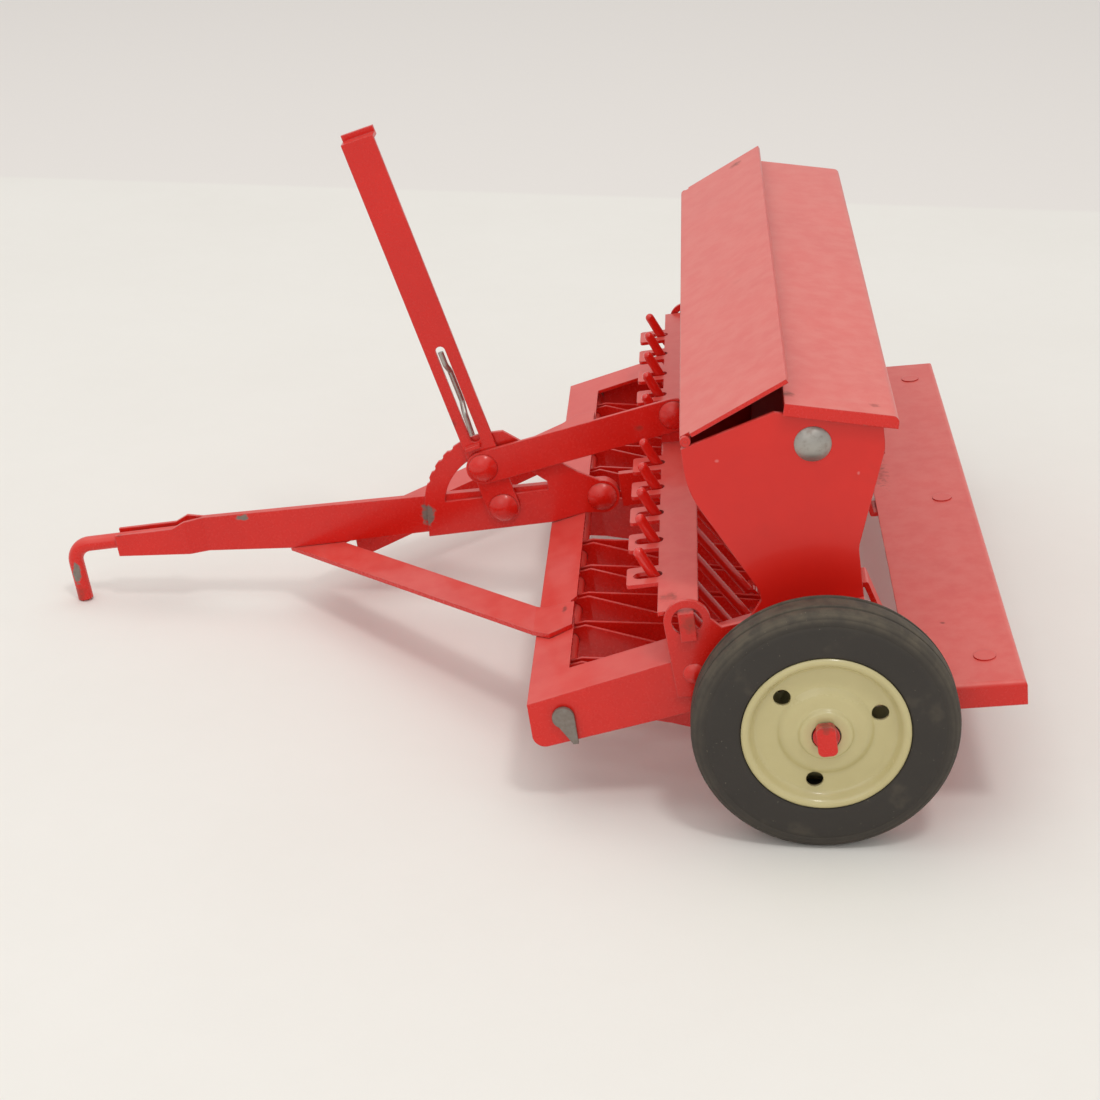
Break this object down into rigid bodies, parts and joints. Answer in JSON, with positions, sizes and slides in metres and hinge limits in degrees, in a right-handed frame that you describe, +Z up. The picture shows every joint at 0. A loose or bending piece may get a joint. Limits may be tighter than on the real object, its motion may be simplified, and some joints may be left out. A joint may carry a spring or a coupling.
{
  "type": "toy seed drill",
  "caption": "Pressed-steel toy seed drill with a hooked tongue, hand lift lever, lidded hopper, hinged openers, rubber-tyred disc wheels and a rear footboard.",
  "frame": {"origin": "on the floor under the centre of the bounding box, the drill standing on both wheels and the tip of its hook", "axes": "+X forward to the hitch, +Y to the drill's left, +Z up"},
  "size_m": [0.25, 0.2476, 0.1362],
  "materials": {
    "red_enamel": "glossy enamel, worn",
    "cream_enamel": "glossy enamel",
    "tyre_rubber": "matt dusty rubber",
    "bare_steel": "dull bare steel"
  },
  "bodies": {
    "drill": {"frame": "red_enamel", "front_rod": "red_enamel", "axle": "red_enamel", "bracket_rivets": "red_enamel", "left_tongue_strip": "red_enamel", "right_tongue_strip": "red_enamel", "hitch_hook": "red_enamel", "quadrant": "red_enamel", "lever_pivot_rivet": "red_enamel", "tongue_rear_rivet": "red_enamel", "drawbar_brace": "red_enamel", "centre_strut": "red_enamel", "hopper_body": "red_enamel", "hopper_end_rivets": "bare_steel", "front_hinge_rod": "red_enamel", "rear_hinge_rod": "red_enamel", "footboard": "red_enamel", "footboard_rivets": "red_enamel", "footboard_straps": "red_enamel", "left_side_bracket": "red_enamel", "left_end_plate": "red_enamel", "right_side_bracket": "red_enamel", "right_end_plate": "red_enamel"},
    "left_wheel": {"left_tyre": "tyre_rubber", "left_wheel_outer_disc": "cream_enamel", "left_wheel_inner_disc": "cream_enamel", "left_wheel_bush": "bare_steel"},
    "right_wheel": {"right_tyre": "tyre_rubber", "right_wheel_outer_disc": "cream_enamel", "right_wheel_inner_disc": "cream_enamel", "right_wheel_bush": "bare_steel"},
    "lever": {"lever": "red_enamel", "latch_wire": "bare_steel", "link_rivet": "red_enamel"},
    "link": {"link": "red_enamel"},
    "lift_rail": {"lift_rail": "red_enamel", "lug_rivet": "red_enamel"},
    "front_lid": {"front_lid": "red_enamel"},
    "rear_lid": {"rear_lid": "red_enamel"},
    "opener_1": {"opener_1": "red_enamel"},
    "lift_rod_1": {"lift_rod_1": "red_enamel"},
    "opener_2": {"opener_2": "red_enamel"},
    "lift_rod_2": {"lift_rod_2": "red_enamel"},
    "opener_3": {"opener_3": "red_enamel"},
    "lift_rod_3": {"lift_rod_3": "red_enamel"},
    "opener_4": {"opener_4": "red_enamel"},
    "lift_rod_4": {"lift_rod_4": "red_enamel"},
    "opener_5": {"opener_5": "red_enamel"},
    "lift_rod_5": {"lift_rod_5": "red_enamel"},
    "opener_6": {"opener_6": "red_enamel"},
    "lift_rod_6": {"lift_rod_6": "red_enamel"},
    "opener_7": {"opener_7": "red_enamel"},
    "lift_rod_7": {"lift_rod_7": "red_enamel"},
    "opener_8": {"opener_8": "red_enamel"},
    "lift_rod_8": {"lift_rod_8": "red_enamel"},
    "opener_9": {"opener_9": "red_enamel"},
    "lift_rod_9": {"lift_rod_9": "red_enamel"},
    "opener_10": {"opener_10": "red_enamel"},
    "lift_rod_10": {"lift_rod_10": "red_enamel"}
  },
  "joints": [
    {"name": "left_wheel_spin", "type": "hinge", "parent": "drill", "child": "left_wheel", "pos_m": [-0.07872, 0.1147, 0.03015], "axis": [0, 1, 0], "continuous": true},
    {"name": "right_wheel_spin", "type": "hinge", "parent": "drill", "child": "right_wheel", "pos_m": [-0.07872, -0.1147, 0.03015], "axis": [0, 1, 0], "continuous": true},
    {"name": "lever_swing", "type": "hinge", "parent": "drill", "child": "lever", "pos_m": [0.00215, 0.00212, 0.03228], "axis": [0, 1, 0], "range_deg": [0, 40]},
    {"name": "link_swing", "type": "hinge", "parent": "lever", "child": "link", "pos_m": [0.00752, 0.00324, 0.04421], "axis": [0, 1, 0], "range_deg": [-40.5, 0.5]},
    {"name": "lift_rail_rock", "type": "hinge", "parent": "drill", "child": "lift_rail", "pos_m": [-0.04726, 0, 0.0505], "axis": [0, 1, 0], "range_deg": [-0.5, 49.3]},
    {"name": "front_lid_hinge", "type": "hinge", "parent": "drill", "child": "front_lid", "pos_m": [-0.04575, 0, 0.09186], "axis": [0, 1, 0], "range_deg": [-6, 85]},
    {"name": "rear_lid_hinge", "type": "hinge", "parent": "drill", "child": "rear_lid", "pos_m": [-0.08922, 0, 0.09738], "axis": [0, -1, 0], "range_deg": [0, 78]},
    {"name": "opener_1_swing", "type": "hinge", "parent": "drill", "child": "opener_1", "pos_m": [-0.01943, 0.08508, 0.02488], "axis": [0, 1, 0], "range_deg": [-10, 0.5]},
    {"name": "lift_rod_1_swing", "type": "hinge", "parent": "opener_1", "child": "lift_rod_1", "pos_m": [-0.06474, 0.08508, 0.02237], "axis": [0, 1, 0], "range_deg": [-0.5, 10]},
    {"name": "opener_2_swing", "type": "hinge", "parent": "drill", "child": "opener_2", "pos_m": [-0.01943, 0.06561, 0.02488], "axis": [0, 1, 0], "range_deg": [-10, 0.5]},
    {"name": "lift_rod_2_swing", "type": "hinge", "parent": "opener_2", "child": "lift_rod_2", "pos_m": [-0.06474, 0.06561, 0.02237], "axis": [0, 1, 0], "range_deg": [-0.5, 10]},
    {"name": "opener_3_swing", "type": "hinge", "parent": "drill", "child": "opener_3", "pos_m": [-0.01943, 0.04921, 0.02488], "axis": [0, 1, 0], "range_deg": [-10, 0.5]},
    {"name": "lift_rod_3_swing", "type": "hinge", "parent": "opener_3", "child": "lift_rod_3", "pos_m": [-0.06474, 0.04921, 0.02237], "axis": [0, 1, 0], "range_deg": [-0.5, 10]},
    {"name": "opener_4_swing", "type": "hinge", "parent": "drill", "child": "opener_4", "pos_m": [-0.01943, 0.03281, 0.02488], "axis": [0, 1, 0], "range_deg": [-10, 0.5]},
    {"name": "lift_rod_4_swing", "type": "hinge", "parent": "opener_4", "child": "lift_rod_4", "pos_m": [-0.06474, 0.03281, 0.02237], "axis": [0, 1, 0], "range_deg": [-0.5, 10]},
    {"name": "opener_5_swing", "type": "hinge", "parent": "drill", "child": "opener_5", "pos_m": [-0.01943, 0.0164, 0.02488], "axis": [0, 1, 0], "range_deg": [-10, 0.5]},
    {"name": "lift_rod_5_swing", "type": "hinge", "parent": "opener_5", "child": "lift_rod_5", "pos_m": [-0.06474, 0.0164, 0.02237], "axis": [0, 1, 0], "range_deg": [-0.5, 10]},
    {"name": "opener_6_swing", "type": "hinge", "parent": "drill", "child": "opener_6", "pos_m": [-0.01943, -0.01723, 0.02488], "axis": [0, 1, 0], "range_deg": [-10, 0.5]},
    {"name": "lift_rod_6_swing", "type": "hinge", "parent": "opener_6", "child": "lift_rod_6", "pos_m": [-0.06474, -0.01723, 0.02237], "axis": [0, 1, 0], "range_deg": [-0.5, 10]},
    {"name": "opener_7_swing", "type": "hinge", "parent": "drill", "child": "opener_7", "pos_m": [-0.01943, -0.03446, 0.02488], "axis": [0, 1, 0], "range_deg": [-10, 0.5]},
    {"name": "lift_rod_7_swing", "type": "hinge", "parent": "opener_7", "child": "lift_rod_7", "pos_m": [-0.06474, -0.03446, 0.02237], "axis": [0, 1, 0], "range_deg": [-0.5, 10]},
    {"name": "opener_8_swing", "type": "hinge", "parent": "drill", "child": "opener_8", "pos_m": [-0.01943, -0.05169, 0.02488], "axis": [0, 1, 0], "range_deg": [-10, 0.5]},
    {"name": "lift_rod_8_swing", "type": "hinge", "parent": "opener_8", "child": "lift_rod_8", "pos_m": [-0.06474, -0.05169, 0.02237], "axis": [0, 1, 0], "range_deg": [-0.5, 10]},
    {"name": "opener_9_swing", "type": "hinge", "parent": "drill", "child": "opener_9", "pos_m": [-0.01943, -0.06892, 0.02488], "axis": [0, 1, 0], "range_deg": [-10, 0.5]},
    {"name": "lift_rod_9_swing", "type": "hinge", "parent": "opener_9", "child": "lift_rod_9", "pos_m": [-0.06474, -0.06892, 0.02237], "axis": [0, 1, 0], "range_deg": [-0.5, 10]},
    {"name": "opener_10_swing", "type": "hinge", "parent": "drill", "child": "opener_10", "pos_m": [-0.01943, -0.08615, 0.02488], "axis": [0, 1, 0], "range_deg": [-10, 0.5]},
    {"name": "lift_rod_10_swing", "type": "hinge", "parent": "opener_10", "child": "lift_rod_10", "pos_m": [-0.06474, -0.08615, 0.02237], "axis": [0, 1, 0], "range_deg": [-0.5, 10]}
  ],
  "couplings": [
    {"joint": "link_swing", "follows": "lever_swing", "ratio": -1},
    {"joint": "lift_rail_rock", "follows": "lever_swing", "ratio": 1.22},
    {"joint": "opener_1_swing", "follows": "lever_swing", "ratio": -0.235},
    {"joint": "lift_rod_1_swing", "follows": "lever_swing", "ratio": 0.235},
    {"joint": "opener_2_swing", "follows": "lever_swing", "ratio": -0.235},
    {"joint": "lift_rod_2_swing", "follows": "lever_swing", "ratio": 0.235},
    {"joint": "opener_3_swing", "follows": "lever_swing", "ratio": -0.235},
    {"joint": "lift_rod_3_swing", "follows": "lever_swing", "ratio": 0.235},
    {"joint": "opener_4_swing", "follows": "lever_swing", "ratio": -0.235},
    {"joint": "lift_rod_4_swing", "follows": "lever_swing", "ratio": 0.235},
    {"joint": "opener_5_swing", "follows": "lever_swing", "ratio": -0.235},
    {"joint": "lift_rod_5_swing", "follows": "lever_swing", "ratio": 0.235},
    {"joint": "opener_6_swing", "follows": "lever_swing", "ratio": -0.235},
    {"joint": "lift_rod_6_swing", "follows": "lever_swing", "ratio": 0.235},
    {"joint": "opener_7_swing", "follows": "lever_swing", "ratio": -0.235},
    {"joint": "lift_rod_7_swing", "follows": "lever_swing", "ratio": 0.235},
    {"joint": "opener_8_swing", "follows": "lever_swing", "ratio": -0.235},
    {"joint": "lift_rod_8_swing", "follows": "lever_swing", "ratio": 0.235},
    {"joint": "opener_9_swing", "follows": "lever_swing", "ratio": -0.235},
    {"joint": "lift_rod_9_swing", "follows": "lever_swing", "ratio": 0.235},
    {"joint": "opener_10_swing", "follows": "lever_swing", "ratio": -0.235},
    {"joint": "lift_rod_10_swing", "follows": "lever_swing", "ratio": 0.235}
  ]
}
